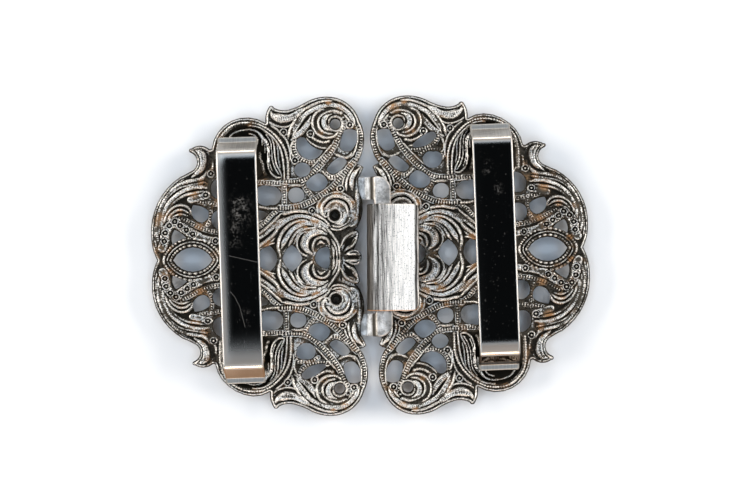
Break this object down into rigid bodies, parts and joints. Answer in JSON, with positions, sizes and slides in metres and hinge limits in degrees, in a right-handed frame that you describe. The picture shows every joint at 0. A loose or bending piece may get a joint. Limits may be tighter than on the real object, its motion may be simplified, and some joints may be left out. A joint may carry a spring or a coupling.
{
  "type": "two-part filigree clasp",
  "caption": "Fastened two-part clasp in pierced filigree work: two ornate plates with a strap bar on the back of each, joined by a sheet hook and a catch loop.",
  "frame": {"origin": "under the middle of the clasp's box, on the surface that its four front domes rest on", "axes": "+X along the row of the two halves, from the half with the loop to the half with the hook; +Y across it, up in the picture; +Z from the decorated front towards the wearer"},
  "size_m": [0.0848, 0.0622, 0.0086],
  "materials": {
    "aged_silver": "cast silver-plated relief, worn bright on the ridges, with brown-black patina in the recesses",
    "polished_strip": "polished nickel-silver strip with fine scratches",
    "satin_strip": "satin plated strip with small pits",
    "brushed_sheet": "brushed plated sheet, worn to copper along one edge"
  },
  "bodies": {
    "root": {"left_plate": "aged_silver", "right_plate": "aged_silver", "left_strap_bar": "polished_strip", "right_strap_bar": "polished_strip", "catch_loop": "satin_strip", "hook": "brushed_sheet"}
  },
  "joints": []
}
